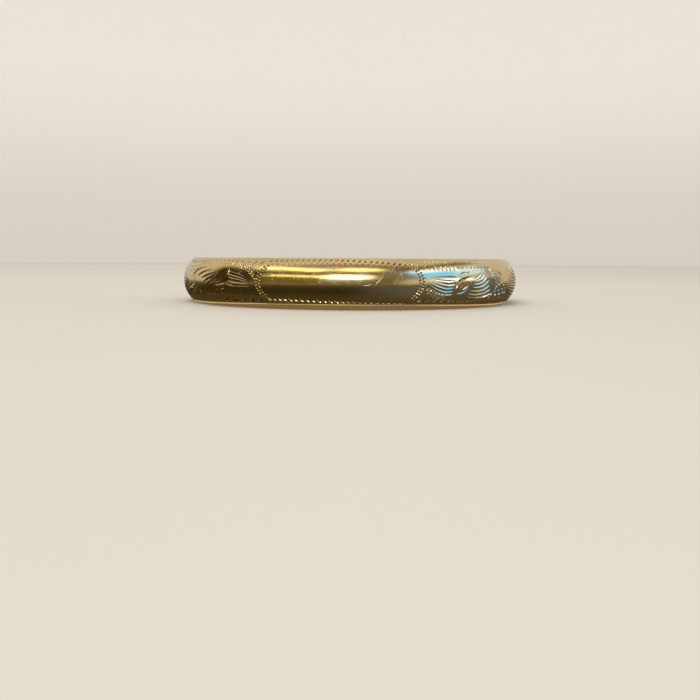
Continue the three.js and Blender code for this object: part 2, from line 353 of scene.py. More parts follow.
leafPanel = {
    # long cuts of the fan beside the plain front, from its narrow end to the bud
    "innerFan": {
        1: [[(16.0, 5.5), (18.2, 5.5), (20.7, 5.5)], [(15.6, 5.32), (18.0, 4.95), (20.5, 4.86)],
            [(15.3, 5.14), (17.8, 4.44), (20.4, 4.28)], [(15.1, 4.98), (17.5, 3.98), (20.2, 3.76)],
            [(14.9, 4.84), (17.2, 3.5), (20.1, 3.2)], [(14.8, 4.62), (16.9, 3.06), (20.1, 2.62)]],
        -1: [[(-16.7, 5.3), (-18.9, 6.1), (-21.1, 6.45)], [(-16.1, 4.72), (-18.6, 5.5), (-21.0, 5.86)],
             [(-15.9, 4.4), (-18.3, 5.02), (-20.8, 5.34)], [(-15.8, 4.1), (-18.0, 4.4), (-20.3, 4.62)],
             [(-15.8, 3.7), (-18.2, 3.84), (-20.6, 3.98)], [(-15.9, 3.24), (-18.5, 3.16), (-21.0, 3.18)]],
    },
    # long cuts of the fan on the far side of the bud, from the bud outward
    "outerFan": {
        1: [[(24.2, 5.2), (25.4, 5.42), (26.9, 6.2)], [(24.3, 4.8), (25.9, 5.06), (27.6, 5.86)],
            [(24.3, 4.3), (26.2, 4.54), (28.1, 5.44)], [(24.2, 3.76), (26.4, 3.94), (28.6, 4.84)],
            [(23.7, 3.2), (26.2, 3.24), (28.9, 4.0)], [(23.2, 2.7), (26.0, 2.58), (29.3, 3.24)],
            [(23.0, 2.3), (26.2, 2.0), (29.9, 2.56)]],
        -1: [[(-27.2, 6.85), (-29.7, 6.45), (-32.0, 5.45)], [(-25.0, 6.4), (-27.5, 6.0), (-29.9, 5.15)],
             [(-23.6, 6.0), (-25.9, 5.55), (-28.3, 4.75)], [(-23.4, 5.5), (-25.4, 4.98), (-27.6, 4.2)],
             [(-23.3, 4.98), (-25.1, 4.36), (-27.0, 3.5)], [(-23.4, 4.44), (-24.9, 3.76), (-26.8, 2.98)],
             [(-23.6, 3.9), (-24.7, 3.16), (-26.3, 2.4)], [(-23.4, 3.3), (-24.2, 2.6), (-25.4, 2.05)],
             [(-26.5, 3.2), (-27.4, 2.4), (-29.0, 1.85)]],
    },
    "fanWidth": 0.5, "fanDepth": 0.17, "fanLean": 0.3, "fanBow": {"innerFan": 0.72, "outerFan": 0.7},
    "leftFanWidth": 0.76,  # share of the width
    "footDepth": 1.4, "depthFall": 0.235, "fanFoot": 2.5,  # the right panel's lower cuts are deeper
    # leaf-shaped bud between the fans
    "budSteepness": 0.33, "budDeepest": 0.27, "budLean": 0.1,
    "bud": [
        ([(20.5, 2.7), (20.9, 4.4), (22.7, 5.4)], 0.7), ([(21.2, 4.3), (22.4, 5.15), (24.2, 5.5)], 0.5),
        ([(20.8, 2.7), (22.2, 3.0), (23.6, 3.9)], 0.5), ([(21.9, 3.3), (22.9, 3.9), (24.1, 4.7)], 0.5),
        ([(21.3, 3.3), (21.8, 4.0), (22.5, 4.5)], 0.4), ([(21.2, 5.6), (22.2, 6.15), (23.9, 6.2)], 0.28),
        ([(23.0, 5.7), (23.4, 6.1), (24.0, 6.5)], 0.24),
    ],
    "accents": [
        ([(21.0, 7.1), (21.9, 6.75)], 0.32), ([(21.6, 7.2), (22.5, 6.8)], 0.28),
        ([(29.7, 6.9), (30.3, 6.3), (30.8, 5.6)], 0.26),
        ([(32.0, 6.5), (32.8, 6.0), (33.6, 5.5)], 0.34),
    ],
    "tick": ([(28.9, 6.95), (29.6, 6.3), (30.2, 5.25)], 0.66, 0.19, 0.6),  # one broad cut past the outer fan
    # two curved rows of marks that end the plain front in a point
    "pointRow": [(11.3, 7.6), (12.7, 6.9), (13.5, 5.8), (13.66, 4.7), (13.4, 3.5), (12.7, 2.5), (12.1, 1.9)],
    "pointSpacing": 0.52, "pointGap": 0.6,
    "beadRow": [(12.6, 7.45), (15.2, 7.2), (18.5, 7.05), (24.0, 7.0), (30.5, 7.05)],
    "beadSpacing": 0.98, "beadStart": 13.7,
    # rows of small marks as (first, last, spacing), with their heights
    "teeth": [(14.6, 21.0, 0.8), (23.4, 28.4, 1.0)], "toothRise": 6.95,
    "topDots": (14.4, 33.0, 1.55), "topDotRise": 7.9, "topTickRise": 8.1,
    "flames": (13.4, 20.0, 1.5), "flameRise": 1.72, "flameFall": 0.012,
    "hatching": (20.4, 36.0, 1.15), "hatchRise": 1.3, "hatchClimb": 0.03, "hatchTurn": 27,
    # stippled ground: places of the first row, the step to the next row, spacing and shift
    "innerGround": (
        [(14.5, 4.25), (16.0, 2.95), (18.9, 2.2)], [(0.12, -0.52), (0, -0.38), (0, -0.26)], 0.6, 0.35),
    "outerGround": ([(30.7, 5.2), (31.0, 4.2), (30.9, 3.2)], [(0.6, 0), (0.5, 0), (0.6, 0)], 0.6, 0.4),
    "lowerGround": ([(19.6, 2.0), (24.5, 1.75), (29.8, 1.8)], 0.75),
    "edgeCuts": [
        [(-14.6, 1.1), (-13.4, 1.5)], [(-16.3, 1.1), (-15.1, 1.55)], [(-18.0, 1.15), (-16.8, 1.6)],
        [(-20.7, 1.0), (-19.6, 1.2), (-18.6, 1.65)], [(-23.2, 1.1), (-22.0, 1.3), (-21.0, 1.75)],
    ],
    "veil": [
        [(-35.8, 2.6), (-33.4, 3.45), (-31.0, 3.9)], [(-33.9, 2.0), (-31.7, 2.95), (-29.8, 3.85)],
        [(-31.8, 1.6), (-29.9, 2.45), (-28.4, 3.5)], [(-29.6, 1.4), (-28.0, 2.1), (-26.9, 2.9)],
    ],
    "looseMarks": [
        (29.9, 2.1), (30.7, 2.6), (31.3, 2.0), (32.0, 2.8), (32.6, 2.1), (33.4, 3.0), (33.9, 2.3),
        (30.9, 3.4), (31.9, 3.8), (32.9, 4.1), (33.9, 3.7), (34.6, 3.1), (29.4, 1.6), (33.2, 1.6),
        (34.8, 2.3),
    ],
}
# small cuts: their points from the mark's place, then width, depth, lean and widest place
markKinds = {
    "tooth": ([(0, 0), (0.3, -0.6)], (0.42, 0.09, 0.6, 0.35)),
    "topTick": ([(0.5, 0), (0.9, -0.35)], (0.24, 0.08, 0.3, 0.5)),
    "flame": ([(0, -0.34), (0.45, -0.12), (0.95, 0.34)], (0.42, 0.13, 0.4, 0.4)),
    "hatch": ([(0, -0.15), (0.6, 0.3)], (0.3, 0.09, 0.3, 0.5)),
    "leftHatch": ([(0, -0.15), (0.6, 0.3)], (0.3, 0.14, 0.3, 0.5)),
    "loose": ([(0, 0), (0.2, 0.22), (0.48, 0.34)], (0.3, 0.09, 0.3, 0.5)),
    "border": ([(0, -0.2), (1.0, 0.2)], (0.42, 0.16, 0.0, 0.5)),
    "sideHatch": ([(0, 0), (0.6, 0.45)], (0.3, 0.09, 0.3, 0.4)),
}
longCuts = {"veil": (0.62, 0.15, -0.5, 0.5), "edge": (0.58, 0.25, 0.0, 0.5)}
punches = {  # radius and depth
    "point": (0.25, 0.18), "bead": (0.22, 0.15), "dot": (0.2, 0.1), "coarse": (0.21, 0.15),
    "medium": (0.18, 0.09), "fine": (0.16, 0.09), "faint": (0.15, 0.06),
}


def mark(kind, at, rise, panel):
    shape, cut = markKinds[kind]
    stroke([(at + along, rise + up) for along, up in shape], *cut, panel)


def stipple(ground, marks, panel):  # one row of punch marks for each name in marks
    first, steps, spacing, shift = ground
    for row, name in enumerate(marks):
        line = [(at + along * row, rise + up * row) for (at, rise), (along, up) in zip(first, steps)]
        for spot in alongLine(line, spacing, shift * row):
            pit(spot, *punches[name], panel)


def fanCuts(panel):
    p = leafPanel
    for fan in ("innerFan", "outerFan"):
        for line in p[fan][panel]:
            lean = p["fanLean"] if fan == "innerFan" and panel < 0 else -p["fanLean"]
            width, depth = p["fanWidth"] * chance.uniform(0.92, 1.08), p["fanDepth"]
            if panel < 0:
                width *= p["leftFanWidth"]
            else:
                depth *= p["footDepth"] - p["depthFall"] * (line[1][1] - p["fanFoot"])
            stroke(line, width, depth, lean, p["fanBow"][fan])


def budCuts(panel):
    p = leafPanel
    for line, width in p["bud"] + p["accents"]:
        depth = min(width * p["budSteepness"], p["budDeepest"])
        stroke(line, width, depth, p["budLean"], 0.5, panel)
    stroke(*p["tick"], 0.5, panel)


def pointRows(panel):
    p = leafPanel
    for row, shift in enumerate((0.0, p["pointGap"])):
        line = [(at + shift, rise) for at, rise in p["pointRow"]]
        for spot in alongLine(line, p["pointSpacing"], 0.5 * row):
            loose = [chance.uniform(-0.05, 0.05), chance.uniform(-0.04, 0.04)]
            pit(spot + loose, *punches["point"], panel)
    for spot in alongLine(p["beadRow"], p["beadSpacing"]):
        if spot[0] > p["beadStart"]:
            pit(spot, *punches["bead"], panel)


def borderMarks(panel):  # the small cuts along the leaf panel's edges and the ground between its cuts
    p = leafPanel
    if panel < 0:
        for name, lines in (("veil", p["veil"]), ("edge", p["edgeCuts"])):
            for line in lines:
                stroke(line, *longCuts[name])
    else:
        for row in p["teeth"]:
            for at in np.arange(*row):
                mark("tooth", at, p["toothRise"], panel)
    for at in np.arange(*p["topDots"]):
        pit((at, p["topDotRise"] + chance.uniform(-0.06, 0.06)), *punches["dot"], panel)
        mark("topTick", at, p["topTickRise"], panel)
    for at in np.arange(*p["flames"]):
        mark("flame", at, p["flameRise"] - p["flameFall"] * (at - 13), panel)
    stipple(p["innerGround"], ("coarse", "coarse", "fine"), panel)
    for spot in alongLine(*p["lowerGround"]):
        pit(spot, *punches["faint"], panel)
    for at in np.arange(*p["hatching"]):
        rise = p["hatchRise"] + p["hatchClimb"] * max(0.0, at - p["hatchTurn"])
        mark("hatch" if panel > 0 else "leftHatch", at, rise, panel)
    stipple(p["outerGround"], ("medium", "medium"), panel)
    for at, rise in p["looseMarks"]:
        mark("loose", at, rise, panel)


sideFan = {
    "root": (33.4, 4.2), "count": 11, "firstTurn": 58, "lastTurn": -52, "near": 1.1, "flatten": 0.75,
    "far": 12.2, "shorter": 2.2, "topEnd": 7.5, "bottomEnd": 1.5, "bowBack": 0.9, "bowShare": 0.68,
    "width": 0.56, "depth": 0.18, "lean": 0.35, "widest": 0.7,
    "borderRun": 45.9, "borderRises": (1.9, 7.3, 10),  # first, last and number
    "edgeMarks": (34.4, 46.4, 0.95), "dotRise": 7.75, "hatchRise": 1.15,
}


def sideFanCuts(panel):  # the fan of cuts that fills the side, and the border that ends it
    f = sideFan
    for index in range(f["count"]):
        share = index / (f["count"] - 1)
        turn = math.radians(f["firstTurn"] + (f["lastTurn"] - f["firstTurn"]) * share)
        endRise = f["topEnd"] + (f["bottomEnd"] - f["topEnd"]) * share
        reach = f["far"] - f["shorter"] * abs(2 * share - 1) ** 2
        rootRun, rootRise = f["root"]
        root = (rootRun + f["near"] * math.cos(turn), rootRise + f["flatten"] * f["near"] * math.sin(turn))
        tip = (rootRun + reach, endRise)
        bow = (0.5 * (root[0] + tip[0]) - f["bowBack"], root[1] + (tip[1] - root[1]) * f["bowShare"])
        width = f["width"] * chance.uniform(0.9, 1.1)
        stroke([root, bow, tip], width, f["depth"], f["lean"], f["widest"], panel)
    for rise in np.linspace(*f["borderRises"]):
        mark("border", f["borderRun"], rise, panel)
    for at in np.arange(*f["edgeMarks"]):
        pit((at, f["dotRise"]), *punches["dot"], panel)
        mark("sideHatch", at, f["hatchRise"], panel)


rope = {  # each kind of mark has its half extents and its width and depth
    "spacing": 0.98, "reach": 12.2,
    "top": 8.1, "curve": 0.0038, "curveStart": -2, "leftFall": 0.02, "leftStart": -4,
    "bottom": 1.52, "slope": 0.022, "barbDrop": 0.5,
    "topHalf": (0.26, -0.19), "topCut": (0.46, 0.34),
    "barbHalf": (0.2, 0.17), "barbCut": (0.3, 0.15),
    "bottomHalf": (0.44, 0.3), "bottomCut": (0.42, 0.2),
}


def ropeCuts():  # slanted cuts along both edges of the plain front
    r = rope
    for at in np.arange(-r["reach"], r["reach"], r["spacing"]):
        top = r["top"] - r["curve"] * max(at - r["curveStart"], 0) ** 2
        top -= r["leftFall"] * max(r["leftStart"] - at, 0)
        barb = (at + r["spacing"] / 2, top - r["barbDrop"])
        bottom = (at, r["bottom"] - r["slope"] * at)
        for name, (run, rise) in (("top", (at, top)), ("barb", barb), ("bottom", bottom)):
            along, up = np.array(r[name + "Half"]) * chance.uniform(0.9, 1.1)
            stroke([(run - along, rise + up), (run + along, rise - up)], *r[name + "Cut"], 0.0, 0.5)


scored = {"ends": (-46.5, -23.4, 0, 23.4, 46.5), "rise": 1.0, "sag": 0.0002, "cut": (0.14, 0.05, 0.0, 0.5)}


def scoredLine():  # fine line that parts the engraved field from the plain lower shoulder
    for first, last in zip(scored["ends"], scored["ends"][1:]):
        run = np.linspace(first, last, 3)
        rise = scored["rise"] - scored["sag"] * run ** 2
        stroke(list(zip(run, rise)), *scored["cut"])


knocks = {  # small dents and scratches on the plain front
    "scratches": [
        ([(-7.6, 3.95), (-7.2, 4.22), (-6.7, 4.3)], 0.16, 0.03), ([(3.9, 4.15), (5.6, 4.3)], 0.1, 0.015),
    ],
    "dents": [((-11.2, 5.2), 0.22, 0.018), ((-6.6, 5.15), 0.16, 0.015)],
}

for panel in (1, -1):
    for engrave in (fanCuts, budCuts, pointRows, borderMarks, sideFanCuts):
        engrave(panel)
ropeCuts()
scoredLine()
for scratch in knocks["scratches"]:
    stroke(*scratch)
for dent in knocks["dents"]:
    pit(*dent)
print("engraving laid out:", len(cuts), "cuts")


def depthAt(points, grow=0.0):  # how deep the engraving is at points on the unrolled dome
    depth = np.zeros(len(points))
    order = np.argsort(points[:, 0])
    sortedRun = points[order, 0]
    for cut in cuts:
        outline = cut["ring"] if "ring" in cut else np.concatenate(cut["edges"])
        low, high = outline.min(0) - grow - 1e-6, outline.max(0) + grow + 1e-6
        near = order[np.searchsorted(sortedRun, low[0]):np.searchsorted(sortedRun, high[0])]
        near = near[(points[near, 1] >= low[1]) & (points[near, 1] <= high[1])]
        if not len(near):
            continue
        p = points[near]
        if "ring" in cut:
            away = np.linalg.norm(p - cut["centre"], axis=1)
            found = cut["deep"] * (1 - away / (cut["radius"] + grow))
        else:
            a, b = cut["line"][:-1], cut["line"][1:]
            d = b - a
            share = np.clip(((p[:, None] - a) * d).sum(-1) / (d * d).sum(-1), 0, 1)
            gap = p[:, None] - (a + share[..., None] * d)
            away = np.linalg.norm(gap, axis=-1)
            best = away.argmin(1)
            rows = np.arange(len(p))
            share, away, gap = share[rows, best], away[rows, best], gap[rows, best]
            onLeft = d[best, 0] * gap[:, 1] - d[best, 1] * gap[:, 0] > 0
            half = np.where(onLeft, cut["left"][best] * (1 - share) + cut["left"][best + 1] * share,
                            cut["right"][best] * (1 - share) + cut["right"][best + 1] * share) + grow
            deep = cut["depth"][best] * (1 - share) + cut["depth"][best + 1] * share + (0.01 if grow else 0)
            found = deep * (1 - away / np.maximum(half, 1e-9))
        depth[near] = np.maximum(depth[near], found)
    return depth


def engravedDome(border, outerAngle, base):
    tilt = outer[domeRowsAt, 2] * domeRadius
    lowRun = runOf(outerAngle[:, domeFirst])
    hingeRun = runOf(outerAngle[-1, domeRowsAt])
    claspRun = lowRun[0]
    loop, ids = [], []

    def addSide(runs, rises, names):
        for run, rise, name in zip(runs, rises, names):
            if not ids or name != ids[-1]:
                loop.append((float(run), float(rise)))
                ids.append(int(name))

    stations = len(lowRun)
    addSide(lowRun[::-1], [tilt[0]] * stations, border["low"][::-1])
    addSide([claspRun] * domeCount, tilt, border["clasp"])
    addSide(lowRun, [tilt[-1]] * stations, border["high"])
    addSide(hingeRun[::-1], tilt[::-1], border["hinge"][::-1])
    loop.pop()
    ids.pop()

    points, edges = list(loop), []
    limit = tilt[-1] - graver["clear"]
    for cut in cuts:
        outline = cut["ring"] if "ring" in cut else np.concatenate(cut["edges"])
        if abs(outline[:, 1]).max() > limit or outline[:, 0].max() > claspRun - graver["clear"]:
            cut["skip"] = True
            continue
        first = len(points)
        if "ring" in cut:
            sides = len(cut["ring"])
            points += [tuple(q) for q in cut["ring"]] + [tuple(cut["centre"])]
            edges += [(first + k, first + (k + 1) % sides) for k in range(sides)]
            edges += [(first + k, first + sides) for k in range(sides)]
            continue
        count = len(cut["line"])
        chains = [cut["line"], cut["edges"][0][1:-1], cut["edges"][1][1:-1]]
        points += [tuple(q) for q in np.concatenate(chains)]
        middleChain = [first + k for k in range(count)]
        edges += list(zip(middleChain[:-1], middleChain[1:]))
        for offset in (first + count, first + 2 * count - 2):
            chain = [first] + [offset + k for k in range(count - 2)] + [first + count - 1]
            edges += list(zip(chain[:-1], chain[1:]))
            edges += list(zip(chain[1:-1], middleChain[1:-1]))
    skipped = sum(1 for cut in cuts if "skip" in cut)
    cuts[:] = [cut for cut in cuts if "skip" not in cut]

    rows = int(round(2 * limit / graver["gridAcross"]))
    grid = []
    for row, rise in enumerate(np.linspace(-limit, limit, rows)):
        start = np.interp(rise, tilt, hingeRun) + 0.3
        runs = np.arange(start + 0.5 * (row % 2) * graver["gridAlong"], claspRun - 0.3, graver["gridAlong"])
        grid += [(float(run), float(rise)) for run in runs]
    grid = np.array(grid)
    grid = grid[depthAt(grid, 0.1) <= 0]
    points += [tuple(q) for q in grid]

    border = [list(range(len(loop)))]
    flat, _, patch, origin, _, _ = delaunay_2d_cdt([Vector(q) for q in points], edges, border, 1, 1e-5)
    flat = np.array([tuple(q) for q in flat], float)
    patch = np.array([list(face) for face in patch if len(face) == 3])
    exact = np.array([points[o[0]] if o else flat[k] for k, o in enumerate(origin)], float)
    depth = depthAt(exact)
    depth[depth < 1e-6] = 0
    finalId = np.arange(len(flat)) + base
    for k, sources in enumerate(origin):
        onLoop = [source for source in sources if source < len(ids)]
        if onLoop:
            finalId[k] = ids[onLoop[0]]
            depth[k] = 0
    angle, lean = angleOf(exact[:, 0]), exact[:, 1] / domeRadius
    radius = domeRadius - depth
    solid = onBand(angle, domeCentre + radius * np.cos(lean), middle + radius * np.sin(lean))
    outward = tilted(angle, lean)

    corners = solid[patch]
    flatNormal = np.cross(corners[:, 1] - corners[:, 0], corners[:, 2] - corners[:, 0])
    backwards = (flatNormal * outward[patch[:, 0]]).sum(1) < 0
    patch[backwards] = patch[backwards][:, ::-1]
    flatNormal[backwards] *= -1
    flatNormal /= np.maximum(np.linalg.norm(flatNormal, axis=1, keepdims=True), 1e-12)
    uncut = (depth[patch].max(1) <= 0) & (depthAt(exact[patch].mean(1)) <= 1e-6)
    normals = np.where(uncut[:, None, None], outward[patch], flatNormal[:, None, :]).reshape(-1, 3)
    print("front dome:", len(patch), "faces,", len(flat), "points,", skipped, "cuts left out")
    place = np.stack([exact[:, 0], exact[:, 1], 0 * depth], -1)
    return solid, finalId[patch], normals, place, depth


frontShell = buildShell("frontOuterShell", -1, False, engravedDome)
backShell = buildShell("backOuterShell", 1, True)
print("shells made:", len(frontShell.data.polygons), len(backShell.data.polygons))


def newGroup(name, inputs, outputs):
    group = bpy.data.node_groups.new(name, "ShaderNodeTree")
    for direction, sockets in (("INPUT", inputs), ("OUTPUT", outputs)):
        for label, kind, value in sockets:
            made = group.interface.new_socket(label, in_out=direction, socket_type="NodeSocket" + kind)
            if value is not None:
                made.default_value = value
    return group, group.nodes.new("NodeGroupInput"), group.nodes.new("NodeGroupOutput")


def maths(tree, operation, a, b=None, clamp=False):
    node = tree.nodes.new("ShaderNodeMath")
    node.operation, node.use_clamp = operation, clamp
    for socket, value in zip(node.inputs, (a, b)):
        if isinstance(value, bpy.types.NodeSocket):
            tree.links.new(value, socket)
        elif value is not None:
            socket.default_value = value
    return node.outputs[0]


def remap(tree, value, low, high, newLow=0.0, newHigh=1.0):
    node = tree.nodes.new("ShaderNodeMapRange")
    node.interpolation_type = "SMOOTHSTEP"
    tree.links.new(value, node.inputs["Value"])
    for socket, number in zip(list(node.inputs)[1:5], (low, high, newLow, newHigh)):
        if isinstance(number, bpy.types.NodeSocket):
            tree.links.new(number, socket)
        else:
            socket.default_value = number
    return node.outputs["Result"]


def mixColour(tree, factor, a, b, blend="MIX"):
    node = tree.nodes.new("ShaderNodeMix")
    node.data_type, node.blend_type = "RGBA", blend
    sockets = (node.inputs["Factor"], node.inputs[6], node.inputs[7])
    for socket, value in zip(sockets, (factor, a, b)):
        if isinstance(value, bpy.types.NodeSocket):
            tree.links.new(value, socket)
        else:
            socket.default_value = value
    return node.outputs[2]


def noiseAt(tree, vector, stretch, detail, roughness=0.5):
    scaled = tree.nodes.new("ShaderNodeVectorMath")
    scaled.operation = "MULTIPLY"
    tree.links.new(vector, scaled.inputs[0])
    scaled.inputs[1].default_value = stretch
    noise = tree.nodes.new("ShaderNodeTexNoise")
    noise.inputs["Scale"].default_value = 1.0
    noise.inputs["Detail"].default_value = detail
    noise.inputs["Roughness"].default_value = roughness
    tree.links.new(scaled.outputs[0], noise.inputs["Vector"])
    return noise.outputs["Fac"]


def hairlineGroup():  # fine polishing lines that run along the first axis of Place, and random scratches
    group, given, result = newGroup(
        "polishing lines",
        [("Place", "Vector", None), ("Lines", "Float", 1.0), ("Scratches", "Float", 1.0)],
        [("Height", "Float", None), ("Scratch Mask", "Float", None)])
    place = given.outputs["Place"]
    fine = noiseAt(group, place, (0.35, 26.0, 26.0), 4, 0.6)
    coarse = noiseAt(group, place, (0.12, 7.0, 7.0), 2)
    across = noiseAt(group, place, (7.0, 0.5, 0.5), 2)
    both = maths(group, "ADD", maths(group, "MULTIPLY", coarse, 0.6), maths(group, "MULTIPLY", across, 0.7))
    lines = maths(group, "MULTIPLY", maths(group, "ADD", fine, both), given.outputs["Lines"])
    masks = []
    for turn, shift in ((0.5, 3.0), (-0.9, 11.0), (1.35, 23.0)):
        spin = group.nodes.new("ShaderNodeVectorRotate")
        spin.rotation_type = "Z_AXIS"
        spin.inputs["Angle"].default_value = turn
        group.links.new(place, spin.inputs["Vector"])
        moved = group.nodes.new("ShaderNodeVectorMath")
        moved.inputs[1].default_value = (shift, shift, 0)
        group.links.new(spin.outputs[0], moved.inputs[0])
        thin = noiseAt(group, moved.outputs[0], (0.16, 5.0, 5.0), 1)
        masks.append(remap(group, thin, 0.672, 0.69))
    widest = maths(group, "MAXIMUM", maths(group, "MAXIMUM", masks[0], masks[1]), masks[2])
    scratch = maths(group, "MULTIPLY", widest, given.outputs["Scratches"])
    group.links.new(maths(group, "SUBTRACT", lines, scratch), result.inputs["Height"])
    group.links.new(scratch, result.inputs["Scratch Mask"])
    return group


def toneAndRecessShadeGroup():  # broad uneven tone of gold worn by handling, and painted shade that darkens the engraved recesses
    group, given, result = newGroup(
        "handled gold with painted recess shade",
        [("Place", "Vector", None), ("Recess", "Float", 0.0), ("Gold", "Color", (0.8, 0.6, 0.3, 1)),
         ("Deep Gold", "Color", (0.6, 0.42, 0.18, 1)), ("Painted Recess Shade", "Color", (0.2, 0.13, 0.06, 1)),
         ("Unevenness", "Float", 0.5), ("Painted Recess Shade Amount", "Float", 0.5), ("Base Roughness", "Float", 0.12),
         ("Roughness Spread", "Float", 0.08)],
        [("Colour", "Color", None), ("Roughness", "Float", None)])
    place = given.outputs["Place"]
    broad = noiseAt(group, place, (0.16, 0.35, 0.35), 3)
    smear = noiseAt(group, place, (0.7, 1.3, 1.3), 5, 0.62)
    uneven = maths(group, "MULTIPLY", remap(group, broad, 0.35, 0.7), given.outputs["Unevenness"])
    toned = mixColour(group, uneven, given.outputs["Gold"], given.outputs["Deep Gold"])
    # painted shade: the deeper the cut, the darker and rougher the gold, in random patches
    deep = remap(group, given.outputs["Recess"], 0.03, 0.17)
    patchy = maths(group, "MULTIPLY", deep, remap(group, smear, 0.3, 0.6, 0.55, 1.0))
    recessShade = maths(group, "MULTIPLY", patchy, given.outputs["Painted Recess Shade Amount"], True)
    group.links.new(mixColour(group, recessShade, toned, given.outputs["Painted Recess Shade"]), result.inputs["Colour"])
    spread = maths(group, "MULTIPLY", remap(group, smear, 0.38, 0.66), given.outputs["Roughness Spread"])
    clean = maths(group, "ADD", given.outputs["Base Roughness"], spread)
    rough = maths(group, "ADD", clean, maths(group, "MULTIPLY", recessShade, 0.22))
    group.links.new(rough, result.inputs["Roughness"])
    return group


hairlines, toneAndRecessShade = hairlineGroup(), toneAndRecessShadeGroup()


def goldMaterial(name, look, placeAttribute=True):
    material = bpy.data.materials.new(name)
    material.use_nodes = True
    tree = material.node_tree
    shader = tree.nodes["Principled BSDF"]
    shader.inputs["Metallic"].default_value = 1.0
    if placeAttribute:
        source = tree.nodes.new("ShaderNodeAttribute")
        source.attribute_name = "place"
        place = source.outputs["Vector"]
    else:
        source = tree.nodes.new("ShaderNodeTexCoord")
        scaled = tree.nodes.new("ShaderNodeVectorMath")
        scaled.operation = "SCALE"
        scaled.inputs["Scale"].default_value = 1000
        tree.links.new(source.outputs["Object"], scaled.inputs[0])
        place = scaled.outputs[0]
    wear = tree.nodes.new("ShaderNodeGroup")
    wear.node_tree = toneAndRecessShade
    tree.links.new(place, wear.inputs["Place"])
    for label in ("Gold", "Deep Gold", "Painted Recess Shade", "Unevenness", "Painted Recess Shade Amount", "Base Roughness",
                  "Roughness Spread"):
        wear.inputs[label].default_value = look[label]
    if look.get("engraved"):
        # the cut depth drives the painted shade in the recesses
        recess = tree.nodes.new("ShaderNodeAttribute")
        recess.attribute_name = "recess"
        tree.links.new(recess.outputs["Fac"], wear.inputs["Recess"])
    lines = tree.nodes.new("ShaderNodeGroup")
    lines.node_tree = hairlines
    tree.links.new(place, lines.inputs["Place"])
    lines.inputs["Lines"].default_value = look["Lines"]
    lines.inputs["Scratches"].default_value = look["Scratches"]
    bump = tree.nodes.new("ShaderNodeBump")
    bump.inputs["Strength"].default_value = look["Bump"]
    bump.inputs["Distance"].default_value = 0.00001
    tree.links.new(lines.outputs["Height"], bump.inputs["Height"])
    tree.links.new(bump.outputs["Normal"], shader.inputs["Normal"])
    tree.links.new(wear.outputs["Colour"], shader.inputs["Base Color"])
    tree.links.new(wear.outputs["Roughness"], shader.inputs["Roughness"])
    return material


# the recess colour and amount below paint shade into the engraved recesses, by the depth of the cut
goldLook = {
    "Gold": (0.86, 0.66, 0.34, 1), "Deep Gold": (0.78, 0.55, 0.22, 1), "Painted Recess Shade": (0.13, 0.08, 0.03, 1),
    "Unevenness": 0.5, "Painted Recess Shade Amount": 0.85, "Base Roughness": 0.09, "Roughness Spread": 0.07,
    "Lines": 1.0, "Scratches": 0.8, "Bump": 0.5, "engraved": True,
}
plainLook = {**goldLook, "engraved": False}
springLook = {**plainLook, "Base Roughness": 0.16, "Gold": (0.82, 0.62, 0.31, 1)}
engravedGold = goldMaterial("engraved gold", goldLook)
polishedGold = goldMaterial("polished gold", {**plainLook, "Painted Recess Shade Amount": 0.0})
insideGold = goldMaterial("inside gold", {**plainLook, "Base Roughness": 0.2, "Bump": 0.8})
smallPolished = goldMaterial("small polished gold", {**plainLook, "Bump": 0.3}, placeAttribute=False)
fittingGold = goldMaterial("fitting gold", {**plainLook, "Base Roughness": 0.22}, placeAttribute=False)
springFinish = goldMaterial("spring gold", springLook, placeAttribute=False)


def dress(piece, material, body, nodes):
    piece.data.materials.clear()
    piece.data.materials.append(material)
    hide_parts(*nodes)
    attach(piece, body)


dress(frontShell, engravedGold, "front_half", ["front_outer_shell"])
dress(backShell, polishedGold, "back_half", ["back_outer_shell"])

# The smooth inner walls
liner = {"gap": 0.05, "corner": 0.07, "cornerSteps": 4}


def buildLiner(name, side):
    edge, wall = band["wall"] + liner["gap"], band["linerWall"]
    corners = ((wall, edge), (wall, band["width"] - edge), (0.0, band["width"] - edge), (0.0, edge))
    loop = []
    for (h, z), first in zip(corners, (-math.pi / 2, 0.0, math.pi / 2, math.pi)):
        h += liner["corner"] if h == 0 else -liner["corner"]
        z += liner["corner"] if z == edge else -liner["corner"]
        for turn in np.linspace(first, first + math.pi / 2, liner["cornerSteps"] + 1):
            loop.append((h + liner["corner"] * math.cos(turn), z + liner["corner"] * math.sin(turn), turn))
    loop = np.array(loop)
    start = math.asin(band["claspGap"] / band["innerDepth"])
    end = math.pi - math.asin(band["hingeGap"] / band["innerDepth"])
    angles = side * np.linspace(start, end, band["stations"] + 1)[:, None]
    vertices = onBand(angles, loop[:, 0], loop[:, 1]).reshape(-1, 3)
    around = tilted(angles, loop[:, 2]).reshape(-1, 3)
    ids = np.arange(len(vertices)).reshape(-1, len(loop))
    ring = np.concatenate([ids, ids[:, :1]], 1)
    patch = turned(quads(ring[:-1, :-1], ring[:-1, 1:], ring[1:, 1:], ring[1:, :-1]), vertices, around[0])
    faces, normals = patch.tolist(), [around[patch.ravel()]]
    for station, sign in ((0, -1), (-1, 1)):
        nx, ny = ovalNormal(angles[station, 0])
        outward = np.array([-ny, nx, 0.0]) * sign * side
        cap = turned(ids[station][None, :], vertices, outward)
        faces += cap.tolist()
        normals.append(np.repeat(outward[None, :], len(loop), 0))
    run = runOf(-abs(np.broadcast_to(angles, ids.shape))).ravel()
    place = np.stack([run, vertices[:, 2], 0 * run], -1)
    return addMesh(name, vertices, faces, np.concatenate(normals), {"place": place})


dress(buildLiner("frontInnerLiner", -1), insideGold, "front_half", ["front_inner_liner"])
dress(buildLiner("backInnerLiner", 1), insideGold, "back_half", ["back_inner_liner"])
print("liners made")

